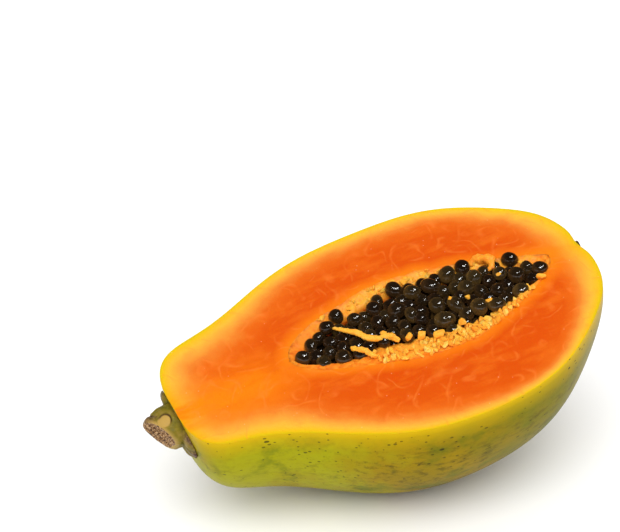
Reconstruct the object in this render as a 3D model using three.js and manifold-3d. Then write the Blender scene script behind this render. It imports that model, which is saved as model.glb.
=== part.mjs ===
// Half of a ripe papaya, cut lengthwise and lying on its rounded skin side, cut face up.
// Millimetres, +Z up. The fruit is shaped in its own frame first: x runs from the stem end to the
// blossom end, the cut face is z = 0, and the flesh is below it. Then it is laid down on its flat spot.
import * as THREE from 'three';
import { mergeVertices } from 'three/addons/utils/BufferGeometryUtils.js';
import Module from 'manifold-3d';

const wasm = await Module();
wasm.setup();

// the fruit: size across at even steps of angle from the stem end to the blossom end
const FRUIT_LENGTH = 180;
const FRUIT_NEAR = [22, 29, 40.5, 57, 62, 57, 42, 25];
const FRUIT_FAR = [23.5, 32, 40.5, 51.5, 54, 51, 38.5, 23.5];
const FRUIT_DEPTH = [33, 47.5, 57, 67, 67.5, 60.5, 44.5, 25];
const WIDEST_AT = 0.15;             // the widest line is this share of the depth below the cut
const FRUIT_STEPS = [60, 30];       // faces along and round

// how it lies: blossom end up, near side down, with a small flat spot pressed into the lowest place
const PITCH = 9;                    // degrees
const ROLL = 15;                    // degrees
const FLAT_DEPTH = 1.5;
const FLOOR_BLOCK = [300, 20];      // width and depth of the block that cuts the flat spot

// the dimple round the stalk and the small pit at the blossom end
const STEM_Z = -9.8;                // the stalk sits just under the cut
const DIMPLE_DEPTH = 2.5;
const DIMPLE_RADIUS = 13;
const BLOSSOM_PIT = [1.6, 6];       // depth and radius

// the seed cavity
const CAVITY_START = 50;
const CAVITY_LENGTH = 115;
const CAVITY_NEAR = [9, 18.5, 25.5, 17.5, 7];
const CAVITY_FAR = [10.5, 18.5, 20.5, 13, 4.5];
const CAVITY_DEPTH = [14, 25, 29, 25, 12];
const CAVITY_STEPS = [26, 10];
const CAVITY_TOP = 6;               // the form that cuts the cavity reaches this far above the cut face
const GAP = 0.3;                    // between pieces that touch
const LINING_THICKNESS = 2.2;
const LINING_TOP = 0.6;             // the pulp's edge stands this far above the cut face
const HOLLOW_TOP = 4;               // and the form that hollows it reaches this far

// grains of pulp along the cavity's edge: how many, and between which shares of its length
const NEAR_GRAINS = [15, 0.26, 0.9];
const FAR_GRAINS = [12, 0.1, 0.62];
const GRAIN_RADIUS = [1.5, 2.4];
const GRAIN_STRETCH = 1.2;          // how much longer than wide
const GRAIN_INSET = 2.6;
const GRAIN_HEIGHT = [-0.6, 0.2];   // of their middles
const GRAIN_STRAY = 0.3;            // how far one strays from even spacing, as a share of the spacing
const GRAIN_TOP = 8;                // the form that bounds them reaches this far above the cut face

// the seeds
const SEED_AXES = [3.7, 3.1, 3];
const SEED_SPACING = 6.4;           // between the middles of seeds in a row
const SEED_HEAP = 1.8;              // how far the middle of the heap stands above its edge
const SEED_TOP = -1.6;              // the height of the outer seeds' middles
const CORE_DROP = 0.2;              // the core's top is this far below the seeds' middles
const SEED_JITTER = 1.6;            // how far a seed strays from its row
const SEED_UNEVEN = 1.4;            // and how far up or down
const SEED_ROWS_REACH = 40;         // rows are tried this far from the middle
const SEED_INSET = 2.8;             // the outer seeds' middles stand this far inside the lining
const SEED_END_INSET = 1;           // and this much further inside at its two ends
const HEAP_TOP = 12;                // the form that bounds the heap reaches this far above the cut face
const RANDOM_SEED = 8;
const FUSED_DETAIL = 0.1;           // fused pieces lose details finer than this

// the stalk and its calyx
const STALK_PROFILE = [[6, 11.5], [2, 10.2], [-1, 9.5], [-4, 9], [-6.5, 8], [-9, 7.6], [-13, 7.4], [-15, 6.4]];
const STALK_SIDES = 28;
const STALK_LUMPS = [[0.02, 3, 1, 0], [0.012, 5, 0, 0.35]];   // height, count round, turn, twist per mm
const STALK_CUT_X = -6.5;           // where the slanted cut crosses the stalk's axis
const STALK_CUT_SLOPE = [0.47, 0.34];
const STALK_CUTTER = 60;            // size of the block that makes the slanted cut
const SCAR_RADIUS = 2.8;
const SCAR_DEPTH = 0.7;
const SCAR_PLUG = 4;                // length of the plug that dents the scar
const SCAR_ANGLE = 108;             // degrees round the stalk, from +y towards +z
const SCAR_X = -3.7;
const SCAR_SURFACE = 9.0;           // the stalk's radius there
const CALYX_LOBES = 5;
const CALYX_RADIUS = [12.5, 19];    // between the lobes and at their tips
const CALYX_THICKNESS = 1.8;
const CALYX_POINTS = 60;            // round its outline
const CALYX_SHARPNESS = 1.6;        // power that narrows the lobes
const CALYX_SPAN = [-8, 24];        // where its block starts along the axis, and how long the block is
const MERGE_WITHIN = 1e-4;          // points this close are one point

const deg = THREE.MathUtils.degToRad;

// seeded random numbers from 0 to 1
function randomSource(seed) {
  let state = seed;
  return () => {
    state = (state * 16807) % 2147483647;
    return state / 2147483647;
  };
}

// smooth profile that is round at both ends: a sine series through values at even steps of angle
function roundedProfile(values) {
  const count = values.length + 1;
  const terms = values.map((unused, k) => {
    const sum = values.reduce((s, v, j) => s + v * Math.sin(((k + 1) * (j + 1) * Math.PI) / count), 0);
    return (2 / count) * sum;
  });
  return (angle) => terms.reduce((s, term, k) => s + term * Math.sin((k + 1) * angle), 0);
}

// a turn any way round, in radians
function randomTurn(random) {
  return new THREE.Euler(6 * random(), 6 * random(), 6 * random());
}

function toSolid(geometry) {
  const bare = geometry.index ? geometry.toNonIndexed() : geometry.clone();
  bare.deleteAttribute('normal');
  bare.deleteAttribute('uv');
  const merged = mergeVertices(bare, MERGE_WITHIN);
  const vertProperties = new Float32Array(merged.attributes.position.array);
  const triVerts = new Uint32Array(merged.index.array);
  return new wasm.Manifold(new wasm.Mesh({ numProp: 3, vertProperties, triVerts }));
}

function toGeometry(solid) {
  const { vertProperties, triVerts } = solid.getMesh();
  const geometry = new THREE.BufferGeometry();
  geometry.setAttribute('position', new THREE.BufferAttribute(new Float32Array(vertProperties), 3));
  geometry.setIndex(new THREE.BufferAttribute(new Uint32Array(triVerts), 1));
  return geometry;
}

// closed skin over closed rings of points, with one point at each end
function loft(startPoint, rings, endPoint) {
  const size = rings[0].length;
  const points = [startPoint, ...rings.flat(), endPoint];
  const last = points.length - 1;
  const faces = [];
  for (let k = 0; k < size; k += 1) {
    const next = (k + 1) % size;
    faces.push(0, 1 + next, 1 + k);
    faces.push(last, last - size + k, last - size + next);
    for (let r = 0; r < rings.length - 1; r += 1) {
      const a = 1 + r * size;
      faces.push(a + k, a + next, a + size + k);
      faces.push(a + next, a + size + next, a + size + k);
    }
  }
  const geometry = new THREE.BufferGeometry().setFromPoints(points);
  geometry.setIndex(faces);
  return toSolid(geometry);
}

// how far a point of the fruit's end is pushed in by the stalk's dimple or the blossom pit
function endShift(x, y, z) {
  if (x < FRUIT_LENGTH / 4) {
    const r2 = y * y + (z - STEM_Z) ** 2;
    return DIMPLE_DEPTH * Math.exp(-r2 / DIMPLE_RADIUS ** 2);
  }
  if (x > (3 * FRUIT_LENGTH) / 4) {
    const r2 = y * y + z * z;
    return -BLOSSOM_PIT[0] * Math.exp(-r2 / BLOSSOM_PIT[1] ** 2);
  }
  return 0;
}

// one cross-section's arc from the near rim, under the fruit, to the far rim
function sectionArc(near, far, depth, widestAt, steps) {
  const rise = Math.asin(widestAt / (1 - widestAt));
  const arc = [];
  for (let k = 0; k <= steps; k += 1) {
    const angle = Math.PI + rise - (k * (Math.PI + 2 * rise)) / steps;
    const width = (Math.cos(angle) > 0 ? far : near) / Math.cos(rise);
    arc.push([width * Math.cos(angle), -widestAt * depth - (1 - widestAt) * depth * Math.sin(angle)]);
  }
  return arc;
}

function fruitBody(shift = 0) {
  const near = roundedProfile(FRUIT_NEAR);
  const far = roundedProfile(FRUIT_FAR);
  const depth = roundedProfile(FRUIT_DEPTH);
  const [steps, sides] = FRUIT_STEPS;
  const rings = [];
  for (let k = 1; k < steps; k += 1) {
    const angle = (k * Math.PI) / steps;
    const x = (FRUIT_LENGTH * (1 - Math.cos(angle))) / 2;
    const arc = sectionArc(near(angle), far(angle), depth(angle), WIDEST_AT, sides);
    rings.push(arc.map(([y, z]) => new THREE.Vector3(x + endShift(x, y, z) + shift, y, z)));
  }
  const start = new THREE.Vector3(endShift(0, 0, 0) + shift, 0, 0);
  const end = new THREE.Vector3(FRUIT_LENGTH + endShift(FRUIT_LENGTH, 0, 0) + shift, 0, 0);
  return loft(start, rings, end);
}

// the cavity's own form, drawn in by inset all round, up to the height top, which crown raises inside
function cavityForm(inset, top, crown = 0) {
  const near = roundedProfile(CAVITY_NEAR.map((v) => v - inset));
  const far = roundedProfile(CAVITY_FAR.map((v) => v - inset));
  const depth = roundedProfile(CAVITY_DEPTH.map((v) => v - inset));
  const [steps, sides] = CAVITY_STEPS;
  const length = CAVITY_LENGTH - 2 * inset;
  const rings = [];
  for (let k = 1; k < steps; k += 1) {
    const angle = (k * Math.PI) / steps;
    const x = CAVITY_START + inset + (length * (1 - Math.cos(angle))) / 2;
    const arc = sectionArc(near(angle), far(angle), depth(angle), 0, sides);
    const ring = arc.map(([y, z]) => new THREE.Vector3(x, y, z));
    const topPoints = crown > 0 ? sides : 1;
    for (let j = 0; j <= topPoints; j += 1) {
      const across = j / topPoints;
      const y = THREE.MathUtils.lerp(arc[sides][0], arc[0][0], across);
      const rise = crown * 4 * across * (1 - across) * Math.sin(angle);
      ring.push(new THREE.Vector3(x, y, top + rise));
    }
    rings.push(ring);
  }
  const start = new THREE.Vector3(CAVITY_START + inset, 0, top / 2);
  const end = new THREE.Vector3(CAVITY_START + inset + length, 0, top / 2);
  return loft(start, rings, end);
}

// where the cavity's edge is, drawn in by inset, at a share of its length
function cavityEdge(share, side, inset) {
  const angle = Math.acos(1 - 2 * share);
  const values = side < 0 ? CAVITY_NEAR : CAVITY_FAR;
  const y = side * (roundedProfile(values)(angle) - inset);
  return new THREE.Vector3(CAVITY_START + share * CAVITY_LENGTH, y, 0);
}

function ellipsoid(centre, axes, turn) {
  const geometry = new THREE.IcosahedronGeometry(1, 0);
  geometry.scale(axes[0], axes[1], axes[2]);
  geometry.applyQuaternion(new THREE.Quaternion().setFromEuler(turn));
  geometry.translate(centre.x, centre.y, centre.z);
  return toSolid(geometry);
}

// the pulp's grains stand in two rows, one along each edge of the cavity
function pulpGrains(extra) {
  const random = randomSource(RANDOM_SEED);
  const grains = [];
  for (const [side, [count, from, to]] of [[-1, NEAR_GRAINS], [1, FAR_GRAINS]]) {
    for (let k = 0; k < count; k += 1) {
      const share = from + ((to - from) * (k + GRAIN_STRAY * random())) / (count - 1);
      const centre = cavityEdge(share, side, GRAIN_INSET);
      const radius = THREE.MathUtils.lerp(...GRAIN_RADIUS, random()) + extra;
      centre.z = THREE.MathUtils.lerp(...GRAIN_HEIGHT, random());
      grains.push(ellipsoid(centre, [radius * GRAIN_STRETCH, radius, radius], randomTurn(random)));
    }
  }
  return wasm.Manifold.union(grains);
}

// the largest closed skin of a fused solid, without loose scraps and with sealed hollows filled
function largestSkin(solid, detail = FUSED_DETAIL) {
  const { vertProperties, triVerts } = solid.asOriginal().simplify(detail).getMesh();
  const parent = Array.from({ length: vertProperties.length / 3 }, (unused, k) => k);
  const rootOf = (k) => {
    let root = k;
    while (parent[root] !== root) root = parent[root];
    parent[k] = root;
    return root;
  };
  for (let t = 0; t < triVerts.length; t += 3) {
    parent[rootOf(triVerts[t + 1])] = rootOf(triVerts[t]);
    parent[rootOf(triVerts[t + 2])] = rootOf(triVerts[t]);
  }
  const skins = new Map();
  for (let t = 0; t < triVerts.length; t += 3) {
    const root = rootOf(triVerts[t]);
    if (!skins.has(root)) skins.set(root, []);
    skins.get(root).push(...triVerts.slice(t, t + 3));
  }
  const outer = [...skins.values()].sort((a, b) => b.length - a.length)[0];
  const geometry = new THREE.BufferGeometry();
  geometry.setAttribute('position', new THREE.BufferAttribute(new Float32Array(vertProperties), 3));
  geometry.setIndex(outer);
  return toSolid(geometry);
}

function pulpLining() {
  const shell = cavityForm(GAP, LINING_TOP).subtract(cavityForm(GAP + LINING_THICKNESS, HOLLOW_TOP));
  const grains = pulpGrains(0).intersect(cavityForm(GAP, GRAIN_TOP));
  return largestSkin(shell.add(grains));
}

// the seeds lie in uneven rows on a smaller core, turned every way
function seedHeap() {
  const random = randomSource(RANDOM_SEED);
  const inset = GAP + LINING_THICKNESS + GAP;
  const edgeInset = inset + SEED_INSET;
  const halfLength = CAVITY_LENGTH / 2;
  const seeds = [];
  const rowStep = SEED_SPACING * Math.sqrt(0.75);
  const rows = Math.ceil(SEED_ROWS_REACH / rowStep);
  for (let row = -rows; row <= rows; row += 1) {
    const offset = (row % 2) * 0.5 * SEED_SPACING;
    for (let x = CAVITY_START + offset; x < CAVITY_START + CAVITY_LENGTH; x += SEED_SPACING) {
      const jitter = [random() - 0.5, random() - 0.5, random() - 0.5];
      const turn = randomTurn(random);
      const px = x + SEED_JITTER * jitter[0];
      const py = row * rowStep + SEED_JITTER * jitter[1];
      const share = THREE.MathUtils.clamp((px - CAVITY_START) / CAVITY_LENGTH, 0, 1);
      const reach = cavityEdge(share, Math.sign(py) || 1, edgeInset).y;
      if (Math.abs(py) > Math.abs(reach) || py * reach < 0) continue;
      if (Math.abs(px - CAVITY_START - halfLength) > halfLength - edgeInset - SEED_END_INSET) continue;
      const heap = SEED_HEAP * (1 - (py / reach) ** 2) * Math.sin(Math.acos(1 - 2 * share));
      const centre = new THREE.Vector3(px, py, SEED_TOP + heap + SEED_UNEVEN * jitter[2]);
      seeds.push(ellipsoid(centre, SEED_AXES, turn));
    }
  }
  const core = cavityForm(inset, SEED_TOP - CORE_DROP, SEED_HEAP);
  const heap = wasm.Manifold.union([core, ...seeds]).intersect(cavityForm(inset, HEAP_TOP));
  return largestSkin(heap.subtract(pulpGrains(GAP)));
}

// five dried lobes that follow the fruit's shoulder
function calyx() {
  const outline = new THREE.Shape();
  for (let k = 0; k < CALYX_POINTS; k += 1) {
    const angle = (k * 2 * Math.PI) / CALYX_POINTS;
    const lobe = Math.abs(Math.cos((CALYX_LOBES * angle) / 2)) ** CALYX_SHARPNESS;
    const radius = THREE.MathUtils.lerp(...CALYX_RADIUS, lobe);
    const place = [radius * Math.cos(angle), radius * Math.sin(angle)];
    if (k === 0) outline.moveTo(...place);
    else outline.lineTo(...place);
  }
  const star = new THREE.ExtrudeGeometry(outline, { depth: CALYX_SPAN[1], bevelEnabled: false });
  star.rotateY(Math.PI / 2);
  star.translate(CALYX_SPAN[0], 0, STEM_Z);
  return toSolid(star).intersect(fruitBody(-GAP - CALYX_THICKNESS));
}

function stalkStub() {
  const turn = (radius, x) => {
    const ring = [];
    for (let k = 0; k < STALK_SIDES; k += 1) {
      const angle = (k * 2 * Math.PI) / STALK_SIDES;
      const lump = STALK_LUMPS.reduce((sum, [height, count, start, twist]) => (
        sum + height * Math.sin(count * angle + start + twist * x)
      ), 1);
      const y = radius * lump * Math.cos(angle);
      const z = STEM_Z + radius * lump * Math.sin(angle);
      ring.push(new THREE.Vector3(x, y, z));
    }
    return ring;
  };
  const rings = STALK_PROFILE.map(([x, radius]) => turn(radius, x)).reverse();
  const tipX = STALK_PROFILE[STALK_PROFILE.length - 1][0];
  const start = new THREE.Vector3(tipX, 0, STEM_Z);
  const end = new THREE.Vector3(STALK_PROFILE[0][0], 0, STEM_Z);
  return loft(start, rings, end);
}

// everything on the outer side of the slanted cut
function stalkCutter() {
  const cutter = new THREE.BoxGeometry(STALK_CUTTER, STALK_CUTTER, STALK_CUTTER);
  const outward = new THREE.Vector3(-1, -STALK_CUT_SLOPE[0], -STALK_CUT_SLOPE[1]).normalize();
  cutter.translate(STALK_CUTTER / 2, 0, 0);
  const turn = new THREE.Quaternion().setFromUnitVectors(new THREE.Vector3(1, 0, 0), outward);
  cutter.applyQuaternion(turn);
  cutter.translate(STALK_CUT_X, 0, STEM_Z);
  return toSolid(cutter);
}

function scarPlug() {
  const angle = deg(SCAR_ANGLE);
  const outward = new THREE.Vector3(0, Math.cos(angle), Math.sin(angle));
  const plug = new THREE.CylinderGeometry(SCAR_RADIUS, SCAR_RADIUS, SCAR_PLUG, 20);
  plug.applyQuaternion(new THREE.Quaternion().setFromUnitVectors(new THREE.Vector3(0, 1, 0), outward));
  const away = SCAR_SURFACE - SCAR_DEPTH + SCAR_PLUG / 2;
  plug.translate(SCAR_X, away * outward.y, STEM_Z + away * outward.z);
  return toSolid(plug);
}

function stalk() {
  const stub = stalkStub().subtract(stalkCutter()).subtract(scarPlug());
  return largestSkin(largestSkin(stub.add(calyx())).subtract(fruitBody(-GAP)), 0);
}

// how the fruit lies: rolled about its length, then pitched up at the blossom end
const lie = new THREE.Euler(deg(ROLL), deg(-PITCH), 0, 'YXZ');

// everything under the flat spot, in the fruit's own frame
function underFlatSpot(fruit) {
  const turned = new THREE.Matrix4().makeRotationFromEuler(lie);
  const lowest = new THREE.Box3().setFromBufferAttribute(
    toGeometry(fruit).applyMatrix4(turned).attributes.position,
  ).min.z;
  const cutter = new THREE.BoxGeometry(FLOOR_BLOCK[0], FLOOR_BLOCK[0], FLOOR_BLOCK[1]);
  cutter.translate(0, 0, lowest + FLAT_DEPTH - FLOOR_BLOCK[1] / 2);
  return toSolid(cutter.applyMatrix4(turned.invert()));
}

function fruitHalf() {
  const whole = fruitBody();
  return whole.subtract(underFlatSpot(whole)).subtract(cavityForm(0, CAVITY_TOP));
}

const fleshFinish = new THREE.MeshStandardMaterial({ color: 0xb9a91c, roughness: 0.38 });
const pulpFinish = new THREE.MeshStandardMaterial({ color: 0xf2a23a, roughness: 0.5 });
const seedFinish = new THREE.MeshStandardMaterial({ color: 0x1c1a14, roughness: 0.15 });
const stalkFinish = new THREE.MeshStandardMaterial({ color: 0x8a8038, roughness: 0.6 });

const fruit = new THREE.Group();
const pieces = [
  ['fruit_half', fruitHalf(), fleshFinish],
  ['pulp_lining', pulpLining(), pulpFinish],
  ['seeds', seedHeap(), seedFinish],
  ['stalk', stalk(), stalkFinish],
];
for (const [name, solid, finish] of pieces) {
  const mesh = new THREE.Mesh(toGeometry(solid), finish);
  mesh.name = name;
  fruit.add(mesh);
}

// laid down on the flat spot, with the origin under the middle of the whole
fruit.rotation.copy(lie);
const box = new THREE.Box3().setFromObject(fruit, true);
const middle = box.getCenter(new THREE.Vector3());
fruit.position.set(-middle.x, -middle.y, -box.min.z);

const papayaHalf = new THREE.Group();
papayaHalf.add(fruit);

export default papayaHalf;
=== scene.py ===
import bmesh
import bpy
import math
import numpy as np
from mathutils import Matrix, Vector


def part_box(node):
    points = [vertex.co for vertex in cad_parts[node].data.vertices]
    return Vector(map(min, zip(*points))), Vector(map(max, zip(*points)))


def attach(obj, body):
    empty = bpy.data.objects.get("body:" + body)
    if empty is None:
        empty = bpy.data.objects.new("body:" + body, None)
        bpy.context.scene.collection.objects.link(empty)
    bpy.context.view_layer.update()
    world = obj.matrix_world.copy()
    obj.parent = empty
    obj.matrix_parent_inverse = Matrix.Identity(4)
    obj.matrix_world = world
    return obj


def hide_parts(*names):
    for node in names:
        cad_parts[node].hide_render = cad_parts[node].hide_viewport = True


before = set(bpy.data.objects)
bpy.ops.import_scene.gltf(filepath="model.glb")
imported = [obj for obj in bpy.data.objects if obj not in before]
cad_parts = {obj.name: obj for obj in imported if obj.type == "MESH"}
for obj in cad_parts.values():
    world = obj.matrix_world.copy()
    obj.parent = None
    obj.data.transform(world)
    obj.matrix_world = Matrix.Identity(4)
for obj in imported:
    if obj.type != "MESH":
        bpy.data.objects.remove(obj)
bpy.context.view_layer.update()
mm = 0.001
sceneNow = bpy.context.scene

# Half a papaya, cut lengthwise. Its own frame: x from the stem end to the blossom end, the cut face is
# z = 0 and the flesh is below it, y is negative on the side nearer the camera. All sizes in millimetres.
fruit = {
    "length": 180,
    "near": [22, 29, 40.5, 57, 62, 57, 42, 25],      # half widths at even steps of angle, stem to blossom
    "far": [23.5, 32, 40.5, 51.5, 54, 51, 38.5, 23.5],
    "depth": [33, 47.5, 57, 67, 67.5, 60.5, 44.5, 25],
    "widestAt": 0.15,                # the widest line lies this share of the depth below the cut
    "stemZ": -9.8,
    "dimple": (2.5, 13),             # depth and radius round the stalk
    "blossomPit": (1.6, 6),
    "nub": ((178.6, 0.3, -1.6), (1.3, 1.9, 1.5)),    # the dried flower tip: middle and half sizes
    "pitch": 9, "roll": 15,          # how it lies on the floor, in degrees
    "cadSteps": (60, 30),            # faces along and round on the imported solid
    "along": 220, "round": 116,      # faces along and round here
    "cutRings": 44, "wallRings": 12,
    "waviness": 0.22, "waveLength": 34,
    "sways": [(0.14, 26, 5), (0.07, 8, 6)],          # height, length and seed of the cut face's low waves
    "sunk": 0.1, "lip": (0.15, 0.7),                 # how far the cut sinks, and how far at the cavity's edge
    # the yellow along the neck: its y, half width, the x where it ends and the length it fades over; and
    # round the cavity's far end: share, x, y and reach
    "neckYellow": (-5, 12, 60, 24), "endYellow": (0.8, 168, -1, 9),
    # the bands inside the rim are wider at both ends: share, x and reach; and narrower on the near side
    "widerBands": [(0.75, 24, 26), (0.8, 177, 16)], "narrowBands": (0.5, 128, 34, 20),
}
cavity = {
    "start": 50, "length": 115,
    "near": [9.5, 19.3, 26, 20.3, 9.8],
    "far": [10.5, 18.5, 20.5, 13, 4.5],
    "depth": [14, 25, 29, 25, 12],
    "ragged": 0.55,                  # how unevenly the edge runs
}


# sRGB hex to linear RGBA, by the sRGB curve
def toLinear(colour):
    parts = [int(colour[i:i + 2], 16) / 255 for i in (1, 3, 5)]
    return [p / 12.92 if p <= 0.04045 else ((p + 0.055) / 1.055) ** 2.4 for p in parts] + [1.0]


# Adds a node and gives its output: the named one, or the first in use. The inputs are filled or linked by
# name, or else in order. A colour is a hex value, and a ramp a list of places and colours.
def addNode(tree, kind, inputs=(), output=None, ramp=(), **settings):
    node = tree.nodes.new("ShaderNode" + kind)
    for name, value in settings.items():
        setattr(node, name, value)
    if ramp:
        stops = node.color_ramp.elements
        while len(stops) < len(ramp):
            stops.new(0.5)
        for stop, (at, colour) in zip(stops, ramp):
            stop.position = at
            stop.color = toLinear(colour)
    if isinstance(inputs, dict):
        pairs = [(node.inputs[name], value) for name, value in inputs.items()]
    else:
        pairs = list(zip([socket for socket in node.inputs if socket.enabled], inputs))
    for socket, value in pairs:
        if isinstance(value, bpy.types.NodeSocket):
            tree.links.new(value, socket)
        else:
            socket.default_value = toLinear(value) if isinstance(value, str) else value
    inUse = [socket for socket in node.outputs if socket.enabled]
    return node.outputs[output] if output else inUse[0] if inUse else None


def newMaterial(name):
    material = bpy.data.materials.new(name)
    material.use_nodes = True
    material.node_tree.nodes.clear()
    return material, material.node_tree


# a smooth profile that is round at both ends: the sine series through values at even steps of angle
def roundedProfile(values, angle):
    values = np.asarray(values, float)
    steps = np.arange(1, len(values) + 1)
    turns = np.pi / (len(values) + 1)
    terms = [2 / (len(values) + 1) * np.sum(values * np.sin(k * steps * turns)) for k in steps]
    return sum(term * np.sin(k * angle) for k, term in zip(steps, terms))


# smooth noise about -1 to 1: a sum of waves of length about size, in seeded directions
def waves(points, size, seed, count=14):
    random = np.random.default_rng(seed)
    total = np.zeros(points.shape[:-1])
    for k in range(count):
        direction = random.normal(size=3)
        direction /= np.linalg.norm(direction)
        length = size * random.uniform(0.6, 1.6)
        total += np.sin(2 * np.pi * (points @ direction) / length + random.uniform(0, 2 * np.pi))
    return total / math.sqrt(count / 2) / 1.6


# the dimple pushes the stem end in, and the pit the blossom end, by a bell curve of the radius
def endShift(x, y, z):
    dimple = fruit["dimple"][0] * np.exp(-(y ** 2 + (z - fruit["stemZ"]) ** 2) / fruit["dimple"][1] ** 2)
    pit = fruit["blossomPit"][0] * np.exp(-(y ** 2 + z ** 2) / fruit["blossomPit"][1] ** 2)
    return np.where(x < fruit["length"] / 4, dimple, 0) - np.where(x > 0.75 * fruit["length"], pit, 0)


# angle 0 to pi runs along the fruit, turn 0 to 1 from the near rim under it to the far rim: in each section
# two quarter ellipses, of the near and the far half width, hang from the widest line
def skinSurface(angle, turn, plain=False):
    rise = math.asin(fruit["widestAt"] / (1 - fruit["widestAt"]))
    around = math.pi + rise - turn * (math.pi + 2 * rise)
    near = roundedProfile(fruit["near"], angle)
    far = roundedProfile(fruit["far"], angle)
    depth = roundedProfile(fruit["depth"], angle)
    y = np.where(np.cos(around) > 0, far, near) / math.cos(rise) * np.cos(around)
    z = -fruit["widestAt"] * depth - (1 - fruit["widestAt"]) * depth * np.sin(around)
    x = fruit["length"] * (1 - np.cos(angle)) / 2
    x = x + endShift(x, y, z)
    points = np.stack([x, y, z], -1)
    if not plain:                    # low waves, which fade out towards the rim
        fade = np.clip(-z / 12, 0, 1)
        swell = fruit["waviness"] * waves(points, fruit["waveLength"], 3) * fade * np.sin(angle)
        middle = np.stack([x, 0 * x, -0.4 * depth], -1)
        outward = points - middle
        outward /= np.linalg.norm(outward, axis=-1, keepdims=True) + 1e-9
        points = points + outward * (swell - fruit["waviness"] * fade)[..., None]
    return points


# the seed cavity, by the same kind of section: turn 0 is its near edge and 1 its far edge
def cavitySurface(angle, turn, inset=0.0):
    around = math.pi - turn * math.pi
    near, far, depth = [roundedProfile([value - inset for value in cavity[name]], angle)
                        for name in ("near", "far", "depth")]
    length = cavity["length"] - 2 * inset
    y = np.where(np.cos(around) > 0, far, near) * np.cos(around)
    z = -depth * np.sin(around)
    x = cavity["start"] + inset + length * (1 - np.cos(angle)) / 2 + 0 * y
    return np.stack([x, y, z], -1)


# small waves make the cavity's edge uneven, none at its two tips
def ragged(points):
    share = np.clip((points[..., 0] - cavity["start"]) / cavity["length"], 0, 1)
    size = cavity["ragged"] * np.sqrt(np.clip(4 * share * (1 - share), 0, 1))
    moved = points.copy()
    flat = points * [1, 1, 0]
    moved[..., 1] += size * (waves(flat, 11, 21) + 0.5 * waves(flat, 4, 22))
    return moved


# lying down: roll about the length, then pitch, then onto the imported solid's place
pitch, roll = math.radians(fruit["pitch"]), math.radians(fruit["roll"])
lie = np.array((Matrix.Rotation(-pitch, 3, "Y") @ Matrix.Rotation(roll, 3, "X")))
coarse = np.meshgrid(np.linspace(0, math.pi, fruit["cadSteps"][0] + 1),
                     np.linspace(0, 1, fruit["cadSteps"][1] + 1), indexing="ij")
coarseSkin = skinSurface(*coarse, plain=True).reshape(-1, 3) @ lie.T
lowBox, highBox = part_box("fruit_half")
shift = np.array([lowBox.x / mm - coarseSkin[:, 0].min(),
                  lowBox.y / mm - coarseSkin[:, 1].min(),
                  highBox.z / mm - coarseSkin[:, 2].max()])


def laid(points):
    return (np.asarray(points) @ lie.T + shift) * mm


# quads of a grid of rows by columns points, numbered row by row
def gridFaces(rows, columns, flip=False):
    index = np.arange(rows * columns).reshape(rows, columns)
    quads = np.stack([index[:-1, :-1], index[1:, :-1], index[1:, 1:], index[:-1, 1:]], -1).reshape(-1, 4)
    return quads[:, ::-1] if flip else quads


# quads between closed rings of points, numbered ring by ring from start
def ringFaces(rings, sides, start=0, flip=False):
    index = np.arange(rings * sides).reshape(rings, sides) + start
    after = np.roll(index, -1, 1)
    quads = np.stack([index[:-1], index[1:], after[1:], after[:-1]], -1).reshape(-1, 4)
    return quads[:, ::-1] if flip else quads


# Joins blocks into one mesh's data. A block is its points, a list of arrays of faces, and named values, each
# for every point or one for all.
def joinBlocks(blocks):
    points, faces, values = [], [], {}
    count = 0
    for blockPoints, blockFaces, blockValues in blocks:
        flat = np.reshape(blockPoints, (-1, 3))
        points.append(flat)
        for group in blockFaces:
            faces += (np.asarray(group) + count).tolist()
        for label, value in blockValues.items():
            values.setdefault(label, []).append(np.broadcast_to(np.ravel(value), len(flat)))
        count += len(flat)
    return np.concatenate(points), faces, {label: np.concatenate(parts) for label, parts in values.items()}


# A mesh from points in the fruit's frame, with a named value for each point as an attribute, and the point
# itself as the attribute place. Points closer than weld, in metres, become one, and edges sharper than
# sharpOver, in degrees, stay sharp.
def makePiece(name, points, faces, values, materials, faceMaterials=None, weld=0.000005, sharpOver=None):
    mesh = bpy.data.meshes.new(name)
    mesh.from_pydata(laid(points).tolist(), [], faces)
    for label, parts in values.items():
        mesh.attributes.new(label, "FLOAT", "POINT").data.foreach_set("value", np.array(parts, np.float32))
    place = mesh.attributes.new("place", "FLOAT_VECTOR", "POINT")
    place.data.foreach_set("vector", np.array(points, np.float32).ravel())
    for material in materials:
        mesh.materials.append(material)
    if faceMaterials is not None:
        mesh.polygons.foreach_set("material_index", np.asarray(faceMaterials, np.int32))
    piece = bpy.data.objects.new(name, mesh)
    sceneNow.collection.objects.link(piece)
    if weld:
        work = bmesh.new()
        work.from_mesh(mesh)
        bmesh.ops.remove_doubles(work, verts=work.verts, dist=weld)
        bmesh.ops.dissolve_degenerate(work, edges=work.edges, dist=weld / 4)
        bmesh.ops.recalc_face_normals(work, faces=work.faces)
        work.to_mesh(mesh)
        work.free()
    mesh.polygons.foreach_set("use_smooth", np.full(len(mesh.polygons), True))
    mesh.update()
    if sharpOver:
        mesh.set_sharp_from_angle(angle=math.radians(sharpOver))
    return piece


# least distance from each point to the points of a line, in blocks to spare memory
def distanceTo(points, line):
    found = []
    for block in np.array_split(points, max(1, len(points) // 4000)):
        found.append(np.sqrt(((block[:, None] - line[None]) ** 2).sum(-1)).min(1))
    return np.concatenate(found)


# the shape that the seeds, grains and flower tip start from: a sphere of small triangles
def unitSphere(steps):
    work = bmesh.new()
    bmesh.ops.create_icosphere(work, subdivisions=steps, radius=1)
    points = np.array([corner.co[:] for corner in work.verts])
    faces = np.array([[corner.index for corner in face.verts] for face in work.faces])
    work.free()
    return points, faces


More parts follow.
